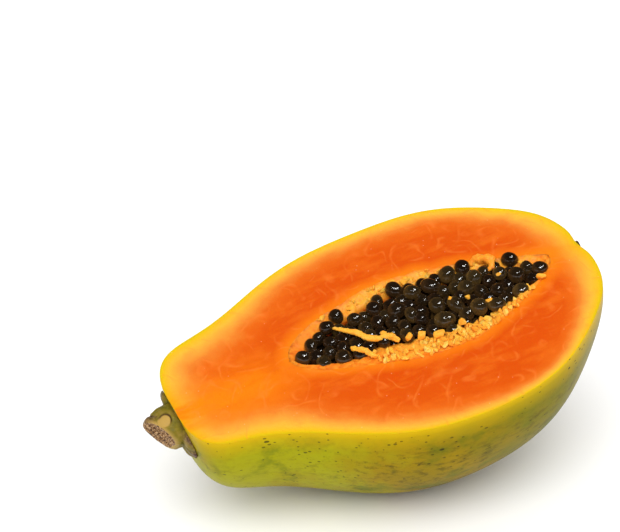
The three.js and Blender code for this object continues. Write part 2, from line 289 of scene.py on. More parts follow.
# the camera stands where the photograph's did
view = {
    "place": (-225.07, -522.63, 352.22),
    "forward": (0.3268, 0.8502, -0.4128),
    "roll": -4.2,                    # degrees, to the left
    "lens": 95.05,
}
cameraData = bpy.data.cameras.new("photoView")
cameraData.lens = view["lens"]
cameraData.sensor_width = 36
cameraData.clip_start = 0.01
camera = bpy.data.objects.new("photoView", cameraData)
sceneNow.collection.objects.link(camera)
look = Vector(view["forward"]).to_track_quat("-Z", "Y").to_matrix().to_4x4()
turned = look @ Matrix.Rotation(math.radians(view["roll"]), 4, "Z")
camera.matrix_world = Matrix.Translation(Vector(view["place"]) * mm) @ turned
sceneNow.camera = camera

# Soft studio light: a very wide lamp above and in front and a pale room, both without a reflection of
# their own, and three small panels that show only as glints on what is wet or waxy. Places in metres.
light = {
    "room": 0.78,
    "aim": (0, 0, 0.05),
    "wide": {"place": (-0.34, -0.8, 1.25), "angle": 54, "strength": 2.15},
    "panels": [{"place": (0.14, -0.95, 1.0), "size": 0.24, "watts": 8.5},
               {"place": (-0.16, -0.85, 1.15), "size": 0.13, "watts": 2.4},
               {"place": (0.62, -0.5, 0.95), "size": 0.17, "watts": 4.2}],
    "panelShape": 0.7,               # height over width
}


def aimLamp(name, data, place):
    lamp = bpy.data.objects.new(name, data)
    sceneNow.collection.objects.link(lamp)
    lamp.location = place
    lamp.rotation_euler = (Vector(light["aim"]) - Vector(place)).to_track_quat("-Z", "Y").to_euler()
    return lamp


def addLights():
    wide = bpy.data.lights.new("wideLamp", "SUN")
    wide.angle = math.radians(light["wide"]["angle"])
    wide.energy = light["wide"]["strength"]
    aimLamp("wideLamp", wide, light["wide"]["place"]).visible_glossy = False
    for number, setting in enumerate(light["panels"]):
        panel = bpy.data.lights.new(f"panel{number}", "AREA")
        panel.shape = "RECTANGLE"
        panel.size = setting["size"]
        panel.size_y = light["panelShape"] * setting["size"]
        panel.energy = setting["watts"]
        aimLamp(f"panel{number}", panel, setting["place"]).visible_diffuse = False
    world = bpy.data.worlds.new("studio")
    world.use_nodes = True
    world.node_tree.nodes["Background"].inputs["Color"].default_value = (1, 1, 1, 1)
    world.node_tree.nodes["Background"].inputs["Strength"].default_value = light["room"]
    world.cycles_visibility.glossy = False
    sceneNow.world = world
    sceneNow.view_settings.view_transform = "Standard"


def addFloor(reach=30):              # metres each way, so that its end doesn't show from the sides
    mesh = bpy.data.meshes.new("floor")
    corners = [(-reach, -reach, 0), (reach, -reach, 0), (reach, reach, 0), (-reach, reach, 0)]
    mesh.from_pydata(corners, [], [(0, 1, 2, 3)])
    floor = bpy.data.objects.new("floor", mesh)
    sceneNow.collection.objects.link(floor)
    paper, tree = newMaterial("whitePaperSweep")
    surface = addNode(tree, "BsdfPrincipled", {"Base Color": "#fbfbfb", "Roughness": 0.8,
                                               "Specular IOR Level": 0.1})
    addNode(tree, "OutputMaterial", {"Surface": surface})
    mesh.materials.append(paper)


addLights()
addFloor()
print("stage: camera, floor and lights are set")


# Ripe papaya flesh: wet translucent cells, orange-red inside and yellow towards the skin, with pale veins.
fleshLook = {
    # millimetres in from the rim, and the colour there
    "bands": [(0.0, "#c2a80a"), (0.6, "#d4b00e"), (1.3, "#deac20"), (2.6, "#e1a834"), (4.6, "#de9434"),
              (7.0, "#d87626"), (10.5, "#d45e10"), (16, "#cd4f04"), (30, "#cb4a02")],
    "bandReach": 30,
    "nearCavity": "#e67a0c", "cavityBand": 6,
    "core": "#e67b04",
    "vein": "#ec8434", "veinSizes": (30, 15), "veinWidth": 0.42, "veinShare": 0.32,
    "cloud": "#d96612", "paintedGlint": "#f6c9a0",
}


def fleshMaterial():
    material, tree = newMaterial("ripePapayaFlesh")
    place = addNode(tree, "Attribute", output="Vector", attribute_name="place")
    fromRim, fromCavity, core = [addNode(tree, "Attribute", output="Fac", attribute_name=name)
                                 for name in ("fromRim", "fromCavity", "core")]
    # the bands wander by forms of 9 mm, less so close to the rim
    soft = addNode(tree, "TexNoise", {"Vector": place, "Scale": 0.11, "Detail": 4})
    wander = addNode(tree, "Math", (soft, 0.5), operation="SUBTRACT")
    wide = addNode(tree, "Math", (fromRim, 0.75), operation="MULTIPLY")
    capped = addNode(tree, "Math", (wide, 7), operation="MINIMUM")
    distance = addNode(tree, "Math", (wander, capped, fromRim), operation="MULTIPLY_ADD")
    reach = fleshLook["bandReach"]
    bandShare = addNode(tree, "Math", (distance, reach), operation="DIVIDE")
    bands = addNode(tree, "ValToRGB", (bandShare,),
                    ramp=[(at / reach, colour) for at, colour in fleshLook["bands"]])
    # more yellow along the middle of the neck, and near the seeds
    drawn = addNode(tree, "Mapping", {"Vector": place, "Scale": (0.35, 1, 1)})
    streaks = addNode(tree, "TexNoise", {"Vector": drawn, "Scale": 0.16, "Detail": 5, "Roughness": 0.6})
    uneven = addNode(tree, "MapRange", (streaks, 0.35, 0.65, 0.55, 1.15))
    coreShare = addNode(tree, "Math", (core, uneven), operation="MULTIPLY", use_clamp=True)
    cavityShare = addNode(tree, "MapRange", (fromCavity, 0.3, fleshLook["cavityBand"], 0.9, 0))
    # cloudy streaks of a few millimetres, drawn out along the fruit
    cloudy = addNode(tree, "MapRange", (streaks, 0.48, 0.7, 0, 0.7))
    inFlesh = addNode(tree, "MapRange", (fromRim, 7, 16))
    clouds = addNode(tree, "Math", (cloudy, inFlesh), operation="MULTIPLY")
    # veins: level lines of a soft noise, of which only some stretches show
    veinParts = []
    for number, size in enumerate(fleshLook["veinSizes"]):
        moved = addNode(tree, "VectorMath", (place, (31.0 * number, 11, 7)), operation="ADD")
        field = addNode(tree, "TexNoise", {"Vector": moved, "Scale": 1 / size, "Detail": 1.5,
                                           "Roughness": 0.4})
        level = addNode(tree, "Math", (field, 0.075), operation="PINGPONG")
        line = addNode(tree, "MapRange", (level, 0, fleshLook["veinWidth"] / size, 1, 0))
        gaps = addNode(tree, "TexNoise", {"Vector": moved, "Scale": 0.13, "Detail": 1})
        broken = addNode(tree, "MapRange", (gaps, 0.44, 0.66))
        veinParts.append(addNode(tree, "Math", (line, broken), operation="MULTIPLY"))
    veins = addNode(tree, "Math", veinParts, operation="MAXIMUM")
    veined = addNode(tree, "Math", (veins, fleshLook["veinShare"]), operation="MULTIPLY")
    # painted glints: a few pale flecks under a millimetre, standing in for the sparkle of the wet cells
    glintCells = addNode(tree, "TexVoronoi", {"Vector": place, "Scale": 0.22})
    isPaintedGlint = addNode(tree, "MapRange", (glintCells, 0.03, 0.07, 0.28, 0))
    colour = bands
    for share, name in [(coreShare, "core"), (cavityShare, "nearCavity"), (clouds, "cloud"),
                        (veined, "vein"), (isPaintedGlint, "paintedGlint")]:
        colour = addNode(tree, "Mix", (share, colour, fleshLook[name]), data_type="RGBA")
    # relief: wet cells of a millimetre, and the veins stand a little proud
    grain = addNode(tree, "TexNoise", {"Vector": place, "Scale": 0.8, "Detail": 4})
    height = addNode(tree, "Math", (veins, 0.5, grain), operation="MULTIPLY_ADD")
    bump = addNode(tree, "Bump", {"Height": height, "Strength": 0.5, "Distance": 0.0003})
    wet = addNode(tree, "MapRange", (grain, 0.3, 0.7, 0.3, 0.5))
    surface = addNode(tree, "BsdfPrincipled", {
        "Base Color": colour, "Normal": bump, "Roughness": wet, "Specular IOR Level": 0.05,
        "Subsurface Weight": 0.2, "Subsurface Radius": (0.003, 0.0012, 0.0004), "Subsurface Scale": 1})
    addNode(tree, "OutputMaterial", {"Surface": surface})
    return material


# Papaya skin: thin, waxy and smooth, yellow-green turning golden, with green mottling and dark specks.
skinLook = {
    "young": "#9c9804", "golden": "#957a00", "brown": "#887304", "olive": "#766f08", "green": "#566202",
    "blossom": "#9c8a4c", "edge": "#c9a404", "streak": "#4c4004", "speck": "#241f04", "tip": "#3a2408",
    # scale per mm, detail, roughness and squeeze along the fruit of each field of noise: forms of 33 mm as it
    # ripens, 14 mm patches, 2 mm streaks, 11 mm crowds of specks, and 1 mm pores
    "fields": {"ripe": (0.03, 5, 0.62, 1), "patch": (0.07, 8, 0.68, 0.7), "streak": (0.42, 7, 0.74, 0.34),
               "crowd": (0.09, 3, 0.6, 1), "pores": (0.9, 4, 0.5, 1)},
    # cell, least and greatest radius in mm, and strength of the two kinds of specks
    "specks": [(2.2, 0.2, 0.52, 0.65), (5.5, 0.0, 0.72, 0.8)],
    "speckSqueeze": 0.5,
}


def skinMaterial():
    material, tree = newMaterial("waxyPapayaSkin")
    place = addNode(tree, "Attribute", output="Vector", attribute_name="place")
    fromRim = addNode(tree, "Attribute", output="Fac", attribute_name="fromRim")
    along = addNode(tree, "SeparateXYZ", (place,), output="X")
    field = {}
    for name, (scale, detail, roughness, squeeze) in skinLook["fields"].items():
        drawn = addNode(tree, "Mapping", {"Vector": place, "Scale": (squeeze, 1, 1)})
        field[name] = addNode(tree, "TexNoise", {"Vector": drawn, "Scale": scale, "Detail": detail,
                                                 "Roughness": roughness})
    toEnd = addNode(tree, "Math", (field["patch"], 30, along), operation="MULTIPLY_ADD")
    fromTip = addNode(tree, "VectorMath", (place, fruit["nub"][0]), operation="DISTANCE")
    # what each layer follows, its range, and the layer's share at the two ends of that range
    ranges = {
        "riper": (along, 48, 108, -0.22, 0.2),
        "green": (field["patch"], 0.5, 0.66, 0, 0.8),
        "streak": (field["streak"], 0.5, 0.68, 0, 0.85),
        "inside": (fromRim, 3, 16, 0.1, 1),
        "pastNeck": (along, 30, 70, 0.35, 1),
        "blossom": (toEnd, 152, 192, 0, 0.75),
        "tip": (fromTip, 2.2, 3.8, 0.9, 0),
        "wideEdge": (fromRim, 1.5, 9, 0.6, 0),
        "thinEdge": (fromRim, 0.2, 2.6, 0.8, 0),
    }
    share = {name: addNode(tree, "MapRange", values) for name, values in ranges.items()}
    # riper from the stem end to the blossom end
    ripe = addNode(tree, "Math", (field["ripe"], share["riper"]), operation="ADD")
    colour = addNode(tree, "ValToRGB", (ripe,),
                     ramp=[(0.22, skinLook["young"]), (0.46, skinLook["golden"]),
                           (0.6, skinLook["brown"]), (0.78, skinLook["olive"])])
    # brown streaks along the fruit, more of them away from the rim and past the neck
    streaks = addNode(tree, "Math", (share["streak"], share["inside"]), operation="MULTIPLY")
    streaks = addNode(tree, "Math", (streaks, share["pastNeck"]), operation="MULTIPLY")
    # drier towards the blossom end, and bright next to the cut edge, where light shines through
    layers = [(share["green"], "green"), (streaks, "streak"), (share["blossom"], "blossom"),
              (share["tip"], "tip"), (share["wideEdge"], "edge"), (share["thinEdge"], "edge")]
    for cell, least, greatest, strength in skinLook["specks"]:
        drawn = addNode(tree, "Mapping", {"Vector": place, "Scale": (skinLook["speckSqueeze"], 1, 1)})
        dots = addNode(tree, "TexVoronoi", {"Vector": drawn, "Scale": 1 / cell})
        radius = addNode(tree, "MapRange", (field["crowd"], 0.42, 0.68, least / cell, greatest / cell))
        inDot = addNode(tree, "Math", (dots, radius), operation="LESS_THAN")
        layers.append((addNode(tree, "Math", (inDot, strength), operation="MULTIPLY"), "speck"))
    for amount, name in layers:
        colour = addNode(tree, "Mix", (amount, colour, skinLook[name]), data_type="RGBA")
    bump = addNode(tree, "Bump", {"Height": field["pores"], "Strength": 0.25, "Distance": 0.0002})
    surface = addNode(tree, "BsdfPrincipled", {"Base Color": colour, "Normal": bump, "Roughness": 0.4,
                                               "Specular IOR Level": 0.06})
    addNode(tree, "OutputMaterial", {"Surface": surface})
    return material


# the cut face: straight lines from the rim to the cavity's edge, with low waves, sunk a little below the rim
def cutSurface(rim, edge):
    inward = np.linspace(0, 1, fruit["cutRings"] + 1)[:, None, None] ** 1.35
    cut = rim[None] * (1 - inward) + edge[None] * inward
    flat = cut.reshape(-1, 3) * [1, 1, 0]
    fromRim = distanceTo(flat, rim * [1, 1, 0]).reshape(cut.shape[:2])
    fromCavity = distanceTo(flat, edge * [1, 1, 0]).reshape(cut.shape[:2])
    sway = sum(height * waves(cut, length, seed) for height, length, seed in fruit["sways"])
    cut[..., 2] += sway * np.clip(fromRim / 6, 0, 1) - fruit["sunk"] * np.clip(fromRim / 3, 0, 1)
    drop, reach = fruit["lip"]
    cut[..., 2] -= drop * np.exp(-fromCavity / reach) * np.clip(fromRim / 4, 0, 1)
    cut[0] = rim
    return cut, fromRim, fromCavity


# where the flesh is more yellow, and how many times as wide as usual the bands inside the rim are, by bell
# curves of the distance from the places that the dictionary gives
def fleshShares(along, across):
    y, reach, end, fade = fruit["neckYellow"]
    core = np.exp(-((across - y) / reach) ** 2) * np.clip((end - along) / fade, 0, 1)
    share, x, y, reach = fruit["endYellow"]
    core = np.maximum(core, share * np.exp(-(np.hypot(along - x, across - y) / reach) ** 2))
    widen = np.ones(along.shape)
    for share, x, reach in fruit["widerBands"]:
        widen += share * np.exp(-((along - x) / reach) ** 2)
    share, x, reach, fade = fruit["narrowBands"]
    widen -= share * np.exp(-((along - x) / reach) ** 2) * np.clip(-across / fade, 0, 1)
    return core, widen


def makeFruit():
    angles = np.linspace(0, math.pi, fruit["along"] + 1)
    turns = np.linspace(0, 1, fruit["round"] + 1)
    skin = skinSurface(*np.meshgrid(angles, turns, indexing="ij"))
    rows = len(skin)
    # the rim and the cavity's edge, once round: near side out to the blossom end, then the far side back
    rim = np.concatenate([skin[:, 0], skin[-2::-1, -1]])
    edge = ragged(np.concatenate([cavitySurface(angles, 0.0), cavitySurface(angles, 1.0)[-2::-1]]))
    cut, fromRim, fromCavity = cutSurface(rim, edge)
    core, widen = fleshShares(cut[..., 0], cut[..., 1])
    wallTurns = np.linspace(0, 1, 2 * fruit["wallRings"] + 1)
    wall = cavitySurface(*np.meshgrid(angles, wallTurns, indexing="ij"))
    wall[:, 0] = cut[-1, :rows]
    wall[:, -1] = cut[-1, rows - 1:][::-1]
    # what is left of the flower: a small brown nub in the blossom pit
    ball, ballFaces = unitSphere(4)
    nubMiddle, nubSizes = fruit["nub"]
    nub = ball * nubSizes * (1 + 0.12 * waves(ball, 0.9, 77))[:, None] + nubMiddle
    nub[:, 2] = np.minimum(nub[:, 2], -0.1)
    skinFaces = gridFaces(*skin.shape[:2])
    cutFaces = gridFaces(*cut.shape[:2])
    wallFaces = gridFaces(*wall.shape[:2], flip=True)
    skinRim = distanceTo(skin.reshape(-1, 3), rim)
    points, faces, values = joinBlocks([
        (skin, [skinFaces], {"fromRim": skinRim, "fromCavity": 60, "core": 0}),
        (cut, [cutFaces], {"fromRim": fromRim / widen, "fromCavity": fromCavity, "core": core}),
        (wall, [wallFaces], {"fromRim": 30, "fromCavity": 0, "core": 0}),
        (nub, [ballFaces], {"fromRim": 9, "fromCavity": 60, "core": 0}),
    ])
    isSkin = np.repeat([1, 0, 1], [len(skinFaces), len(cutFaces) + len(wallFaces), len(ballFaces)])
    placed = points @ lie.T + shift
    placed[:, 2] = np.maximum(placed[:, 2], 0)          # pressed flat where it rests
    points = (placed - shift) @ lie
    piece = makePiece("papaya_half", points, faces, values, [fleshMaterial(), skinMaterial()], isSkin,
                      weld=0.00002, sharpOver=40)
    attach(piece, "root")
    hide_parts("fruit_half")
    return piece


makeFruit()
print("stage: the fruit's skin, cut face and cavity are made")


# rotation that takes x onto the axis, after a spin about x
def turnTo(axis, spin):
    axis = np.asarray(axis, float) / np.linalg.norm(axis)
    quaternion = Vector((1, 0, 0)).rotation_difference(Vector(axis))
    return np.array(quaternion.to_matrix() @ Matrix.Rotation(spin, 3, "X"))


# y of the cavity's near (0) or far (1) edge at x, without its raggedness
def edgeAt(x, side):
    share = np.clip((np.asarray(x, float) - cavity["start"]) / cavity["length"], 0, 1)
    values = cavity["far"] if side else cavity["near"]
    return (1 if side else -1) * roundedProfile(values, np.arccos(1 - 2 * share))


# The seeds. The largest that show are placed one by one: x and y where the seed's middle shows on the cut
# face, half its length and width, the turn of its long side in the view in degrees, and how olive its
# coat is. The rest fill the heap by a rule.
seeds = {
    "large": [
        (55, -1.5, 3.3, 2.9, 8, 0.3), (70, 9, 3.1, 2.9, -30, 0.1), (76, 12.5, 3.2, 3.0, 40, 0.2),
        (68.5, -9.5, 3.5, 3.3, 10, 0.3), (75, -11, 3.1, 2.8, -15, 0.1), (81.5, 7, 3.3, 2.8, 0, 0.3),
        (90.5, 8.5, 3.3, 3.1, 50, 0.1), (102.5, 14, 4.1, 3.3, 30, 0.2), (108, 9.3, 3.6, 3.2, -10, 0.6),
        (116, 8.3, 4.4, 3.2, 10, 0.2), (98, 3, 3.9, 3.4, -20, 0.2), (101.5, -2.5, 3.5, 2.7, 70, 0.6),
        (104, -6.5, 3.0, 2.8, 20, 0.1), (112.8, -2.8, 3.5, 3.4, 60, 0.7), (111.5, -11.5, 4.4, 3.7, -8, 0.8),
        (124.7, 11, 3.9, 3.5, -60, 0.7), (132, 11.3, 3.4, 3.2, 80, 0.1), (133, 3.5, 3.5, 3.3, 75, 1),
        (127.5, 0, 3.6, 3.3, -25, 0.8), (119.4, -6.8, 4.4, 3.0, 48, 0.6), (126.4, -12.2, 3.7, 3.5, 70, 0.8),
        (143, 0.5, 3.0, 2.9, 0, 0.6), (150.5, 5.6, 3.5, 3.1, 12, 0.1), (148, -4, 3.6, 3.5, 85, 0.3),
        (153.6, -2.7, 3.3, 2.8, 80, 0.5), (158, -5, 3.5, 3.0, -12, 0.2), (145, -12.2, 3.5, 2.9, -18, 0.7),
        (132.8, -14.5, 3.6, 3.0, -10, 0.7), (137.4, -7.8, 3.1, 3.0, 30, 0.2), (104.5, -15, 3.1, 2.7, 80, 0.2),
    ],
    "largeHeight": -0.5,
    # x and y of the heap's two edges
    "nearEdge": [(53, -2), (68, -10), (75, -11.5), (80, -8), (84, -6.5), (88, -9.5), (96, -9.8), (101, -12.5),
                 (106, -15), (118, -15.5), (133, -15), (146, -12.5), (160, -7.5)],
    "farEdge": [(53, 0), (64, 7), (76, 13), (84, 10), (97, 14.5), (116, 13.5), (132, 11), (150, 5.5),
                (160, -5.5)],
    "layers": [(-2.3, 5.4, 0.7), (-6.2, 5.6, 0.9)],      # height, spacing and unevenness of the rest
    "tries": 4000, "closest": 0.82,                      # tries a layer, and least gap as a share of spacing
    "pushes": 60, "pushWithin": 5.5, "heights": (-8, -1.2),          # rounds, reach, and the heap's depth
    "halfLength": (3.0, 3.7), "halfWidth": (2.6, 3.1),
    "olives": [0.1, 0.1, 0.2, 0.3, 0.5, 0.7],
    "deep": -4,                                          # seeds below this height hardly show
}


# A ripe papaya seed: black wrinkled core in a smooth wet see-through coat, with a painted rim sheen: the
# olive coat shows at its sides.
def seedMaterial():
    material, tree = newMaterial("wetPapayaSeed")
    place = addNode(tree, "Attribute", output="Vector", attribute_name="place")
    side, olive = [addNode(tree, "Attribute", output="Fac", attribute_name=name)
                   for name in ("side", "olive")]
    # wrinkles of 2 mm
    wrinkles = addNode(tree, "TexNoise", {"Vector": place, "Scale": 0.55, "Detail": 3, "Distortion": 1})
    # the coat shows where the wrinkles rise, and as a painted rim sheen towards the sides
    reach = addNode(tree, "Math", (wrinkles, 0.7, side), operation="MULTIPLY_ADD")
    coatAndRimSheen = addNode(tree, "MapRange", (reach, 0.5, 1.15))
    coat = addNode(tree, "Mix", (olive, "#382212", "#644b24"), data_type="RGBA")
    core = addNode(tree, "Mix", (olive, "#160e09", "#2c2212"), data_type="RGBA")
    colour = addNode(tree, "Mix", (coatAndRimSheen, core, coat), data_type="RGBA")
    bump = addNode(tree, "Bump", {"Height": wrinkles, "Strength": 0.3, "Distance": 0.0005})
    surface = addNode(tree, "BsdfPrincipled", {"Base Color": colour, "Normal": bump, "Roughness": 0.07,
                                               "Specular IOR Level": 0.5})
    addNode(tree, "OutputMaterial", {"Surface": surface})
    return material


# places of the seeds that fill the heap: tried at random, then pushed apart from all the others
def fillHeap(random, large):
    nearX, nearY = np.array(seeds["nearEdge"]).T
    farX, farY = np.array(seeds["farEdge"]).T
    filled = np.zeros((0, 3))
    for height, spacing, uneven in seeds["layers"]:
        layer = []
        for attempt in range(seeds["tries"]):
            x = random.uniform(nearX[0], nearX[-1])
            share = random.uniform()
            y = (1 - share) * np.interp(x, nearX, nearY) + share * np.interp(x, farX, farY)
            spot = np.array([x, y, height + uneven * random.uniform(-1, 1)])
            taken = np.concatenate([large, filled, np.array(layer).reshape(-1, 3)])
            if (np.linalg.norm(taken - spot, axis=1) > seeds["closest"] * spacing).all():
                layer.append(spot)
        filled = np.concatenate([filled, np.array(layer)])
    for step in range(seeds["pushes"]):
        taken = np.concatenate([large, filled])
        gap = filled[:, None] - taken[None]
        apart = np.sqrt((gap ** 2).sum(-1)) + 1e-6
        apart[np.arange(len(filled)), np.arange(len(filled)) + len(large)] = 99      # not from itself
        push = np.clip(seeds["pushWithin"] - apart, 0, None)
        filled = filled + 0.2 * (push[..., None] * gap / apart[..., None]).sum(1)
        filled[:, 2] = np.clip(filled[:, 2], *seeds["heights"])
        filled[:, 1] = np.clip(filled[:, 1], np.interp(filled[:, 0], nearX, nearY),
                               np.interp(filled[:, 0], farX, farY))
    return filled


def makeSeeds():
    random = np.random.default_rng(12)
    toFruit = lie.T @ np.array(camera.matrix_world.to_3x3())
    right, up, toCamera = toFruit.T
    rows = []
    for x, y, long, wide, turn, tint in seeds["large"]:
        height = seeds["largeHeight"] + random.uniform(-0.5, 0.5)
        # raised along the line of sight, so that it shows at the same place
        spot = np.array([x, y, 0]) + toCamera * height / toCamera[2]
        axis = math.cos(math.radians(turn)) * right - math.sin(math.radians(turn)) * up
        rows.append((spot, long, wide, axis, tint))
    for spot in fillHeap(random, np.array([row[0] for row in rows])):
        axis = random.normal(size=3) * [1, 1, 0.5]
        rows.append((spot, random.uniform(*seeds["halfLength"]), random.uniform(*seeds["halfWidth"]), axis,
                     random.choice(seeds["olives"])))
    fine, coarseBall = unitSphere(4), unitSphere(3)
    blocks = []
    for number, (spot, long, wide, axis, tint) in enumerate(rows):
        ball, ballFaces = fine if spot[2] > seeds["deep"] else coarseBall
        # an ellipsoid, narrower at one end, with low lumps
        shaped = ball * [long, wide, wide * random.uniform(0.9, 1)]
        shaped[:, 1:] *= 1 - random.uniform(0.04, 0.14) * ball[:, :1]
        shaped *= 1 + 0.03 * waves(ball, 1.5, number)[:, None]
        turnedSeed = shaped @ turnTo(axis, random.uniform(0, 6.28)).T
        outward = turnedSeed / np.linalg.norm(turnedSeed, axis=1, keepdims=True)
        # painted rim sheen: how far a point faces away from up and the near side; the coat is painted lighter
        # there
        side = 1 - np.clip(outward @ [0, -0.45, 0.89], 0, 1)          # 0 on top and 1 at the sides
        blocks.append((turnedSeed + spot, [ballFaces], {"side": side, "olive": tint}))
    print("seeds:", len(rows))
    piece = makePiece("papaya_seeds", *joinBlocks(blocks), [seedMaterial()], weld=0)
    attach(piece, "root")
    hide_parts("seeds")
    return piece


makeSeeds()
print("stage: the seeds are made")


# The pulp: a soft dish that carries the seeds, with crumbly grains and torn strands on it.
pulp = {
    "along": 220, "across": 80,
    "lip": -0.15, "slopes": (0.1, 0.55),              # fall a millimetre from the near and the far edge
    # how far in the pulp reaches before it drops under the seeds: x and width of its near side, and the far
    "nearShelf": [(55, 2), (70, 5), (77, 6), (82, 12), (95, 12), (106, 9), (115, 8.5), (122, 7), (128, 5),
                  (135, 3.4), (147, 3), (158, 2)],
    "farShelf": 5.0, "floorDrop": 5.5, "dropOver": 3.5,
    "fuzz": 0.5, "tuck": 0.5, "inset": 0.3,
    "grains": [(80, 100, 4, 3.4), (99, 151, 5, 2.3)],    # from x, to x, rows and spacing along the near edge
    "grainRows": (1.1, 1.8, 0.7),    # from the edge to the first row, from row to row, and unevenness
    "grainLength": (1.2, 2.1), "grainWidth": (0.8, 1.25), "grainHeight": (0.6, 0.9),
    "grainLift": (0.1, 0.8), "grainTone": (0.55, 0.98),
    "grainFlats": (7, 0.55, 0.85),   # how many flats cut a grain, and how near and far from its middle
    # small grains along the far edge: their number, x from, most often and to, and their ranges
    "farGrains": 60, "farPlaces": (64, 98, 150), "farInset": (0.4, 4.6), "farSize": (0.4, 0.85),
    "farTone": (0.5, 0.85),
    # points and radius of the torn strands, and of the curled scrap at the far edge
    "strands": [([(71.4, 6.5, 0.8), (73.6, 3.2, 1.9), (75.9, 0.2, 2.2), (78.4, -2.9, 2.1), (81, -6.4, 1.3),
                  (84.8, -8.6, 1.0), (88.2, -9.6, 0.9)], 1.15),
                ([(84.6, -8.0, 0.9), (87.0, -8.4, 1.3), (89.2, -9.8, 1.0), (90.8, -12.6, 0.2)], 1.59),
                ([(73.1, -7.0, 1.0), (75.0, -10.5, 2.1), (77.6, -13.5, 1.4), (80.4, -16.5, -0.2)], 1.4)],
    "curl": ([(135.6, 12.4, -1.4), (138.5, 12.6, 0.2), (141.1, 11.2, 0.9), (142.6, 8.6, 1.2),
              (142.0, 5.3, 1.0), (139.5, 4.2, 0.3)], 2.0),
    # middle and half length of the loose crumbs
    "crumbs": [(87.0, -6.5, 1.1, 1.6), (94.5, -13.0, 0.9, 1.7), (99.3, -15.1, 1.0, 2.2),
               (116.4, -16.6, 0.9, 2.4), (105.7, -17.4, 0.5, 2.4), (118.0, -4.1, 2.4, 1.2),
               (124.2, -6.8, 2.2, 1.2), (130.6, -12.4, 1.5, 1.5), (155.3, -10.5, 0.8, 2.0),
               (141.4, -1.2, 1.6, 1.0), (153.4, 1.6, 0.3, 1.2), (107.9, 17.0, -1.2, 1.6)],
}


# falls gently inside the edge, then steeply to the floor under the seeds
def pulpHeight(points, edge):
    inside = distanceTo(points * [1, 1, 0], edge * [1, 1, 0])
    near, far = edgeAt(points[:, 0], 0), edgeAt(points[:, 0], 1)
    across = np.clip((points[:, 1] - near) / np.maximum(far - near, 1e-3), 0, 1)
    slope = pulp["slopes"][0] + (pulp["slopes"][1] - pulp["slopes"][0]) * across
    shelf = np.where(across < 0.5, np.interp(points[:, 0], *np.array(pulp["nearShelf"]).T), pulp["farShelf"])
    drop = np.clip((inside - shelf + 0.5) / pulp["dropOver"], 0, 1)
    steep = pulp["floorDrop"] * drop * drop * (3 - 2 * drop)
    return pulp["lip"] - slope * np.minimum(inside, shelf) - steep, inside


# Papaya pulp: wet, soft, see-through yellow tissue, orange where it is torn thin, with painted shade where it
# lies under the seeds.
def pulpMaterial():
    material, tree = newMaterial("wetPapayaPulp")
    place = addNode(tree, "Attribute", output="Vector", attribute_name="place")
    tone = addNode(tree, "Attribute", output="Fac", attribute_name="tone")
    # clouds of 2.5 mm in the colour, and grains of 1 mm in the relief
    cloud = addNode(tree, "TexNoise", {"Vector": place, "Scale": 0.4, "Detail": 4})
    wander = addNode(tree, "Math", (cloud, 0.5), operation="SUBTRACT")
    mixed = addNode(tree, "Math", (wander, 0.5, tone), operation="MULTIPLY_ADD")
    # the two darkest stops are painted shade, reached only where the dish lies deep under the seeds
    colour = addNode(tree, "ValToRGB", (mixed,),
                     ramp=[(0.0, "#1a0a03"), (0.12, "#7a2c06"), (0.25, "#cf5206"), (0.42, "#ea8420"),
                           (0.62, "#f09a2e"), (0.82, "#f4aa38"), (1.0, "#f8c05c")])
    grain = addNode(tree, "TexNoise", {"Vector": place, "Scale": 1.1, "Detail": 3})
    bump = addNode(tree, "Bump", {"Height": grain, "Strength": 0.35, "Distance": 0.00025})
    surface = addNode(tree, "BsdfPrincipled", {
        "Base Color": colour, "Normal": bump, "Roughness": 0.4, "Specular IOR Level": 0.12,
        "Subsurface Weight": 0.5, "Subsurface Radius": (0.0014, 0.0010, 0.0005), "Subsurface Scale": 1})
    addNode(tree, "OutputMaterial", {"Surface": surface})
    return material


# a lumpy tube through the path, tapering to nothing at both ends
def strand(path, radius, sides=14, rings=36):
    path = np.array(path, float)
    steps = np.linspace(0, len(path) - 1, rings)
    line = np.stack([np.interp(steps, np.arange(len(path)), path[:, k]) for k in range(3)], -1)
    for smoothing in range(6):
        line[1:-1] = (line[:-2] + 2 * line[1:-1] + line[2:]) / 4
    along = np.gradient(line, axis=0)
    along /= np.linalg.norm(along, axis=1, keepdims=True)
    sideways = np.cross(along, [0, 0, 1])
    sideways /= np.linalg.norm(sideways, axis=1, keepdims=True)
    upward = np.cross(sideways, along)
    share = np.linspace(0, 1, rings)
    width = radius * np.sin(math.pi * np.clip(0.02 + 0.96 * share, 0, 1)) ** 0.45
    turn = np.linspace(0, 2 * math.pi, sides, endpoint=False)
    aside, over = np.cos(turn)[None, :, None], 0.8 * np.sin(turn)[None, :, None]
    ring = aside * sideways[:, None] + over * upward[:, None]
    points = line[:, None] + width[:, None, None] * ring
    lumps = 0.4 * waves(points, 5.0, 8) + 0.2 * waves(points, 2.0, 9)
    points += radius * lumps[..., None] * ring
    index = np.arange(rings * sides).reshape(rings, sides)
    after = np.roll(index, -1, 1)
    quads = np.stack([index[:-1], after[:-1], after[1:], index[1:]], -1).reshape(-1, 4)
    tip = np.full(sides, index.size)
    firstCap = np.stack([after[0], index[0], tip], -1)
    lastCap = np.stack([index[-1], after[-1], tip + 1], -1)
    return np.concatenate([points.reshape(-1, 3), line[[0, -1]]]), [quads, firstCap, lastCap]


# a rounded uneven block: the ball is pushed towards a box, cut by seeded flats, sized and turned
def crumb(random, ball, sizes, axis):
    flats, nearest, farthest = pulp["grainFlats"]
    block = ball / (np.abs(ball) ** 5).sum(1, keepdims=True) ** 0.2
    for cut in range(flats):
        flatWay = random.normal(size=3)
        flatWay /= np.linalg.norm(flatWay)
        over = np.clip(block @ flatWay - random.uniform(nearest, farthest), 0, None)
        block = block - over[:, None] * flatWay
    return block * sizes @ turnTo(axis, random.uniform(0, 6.28)).T
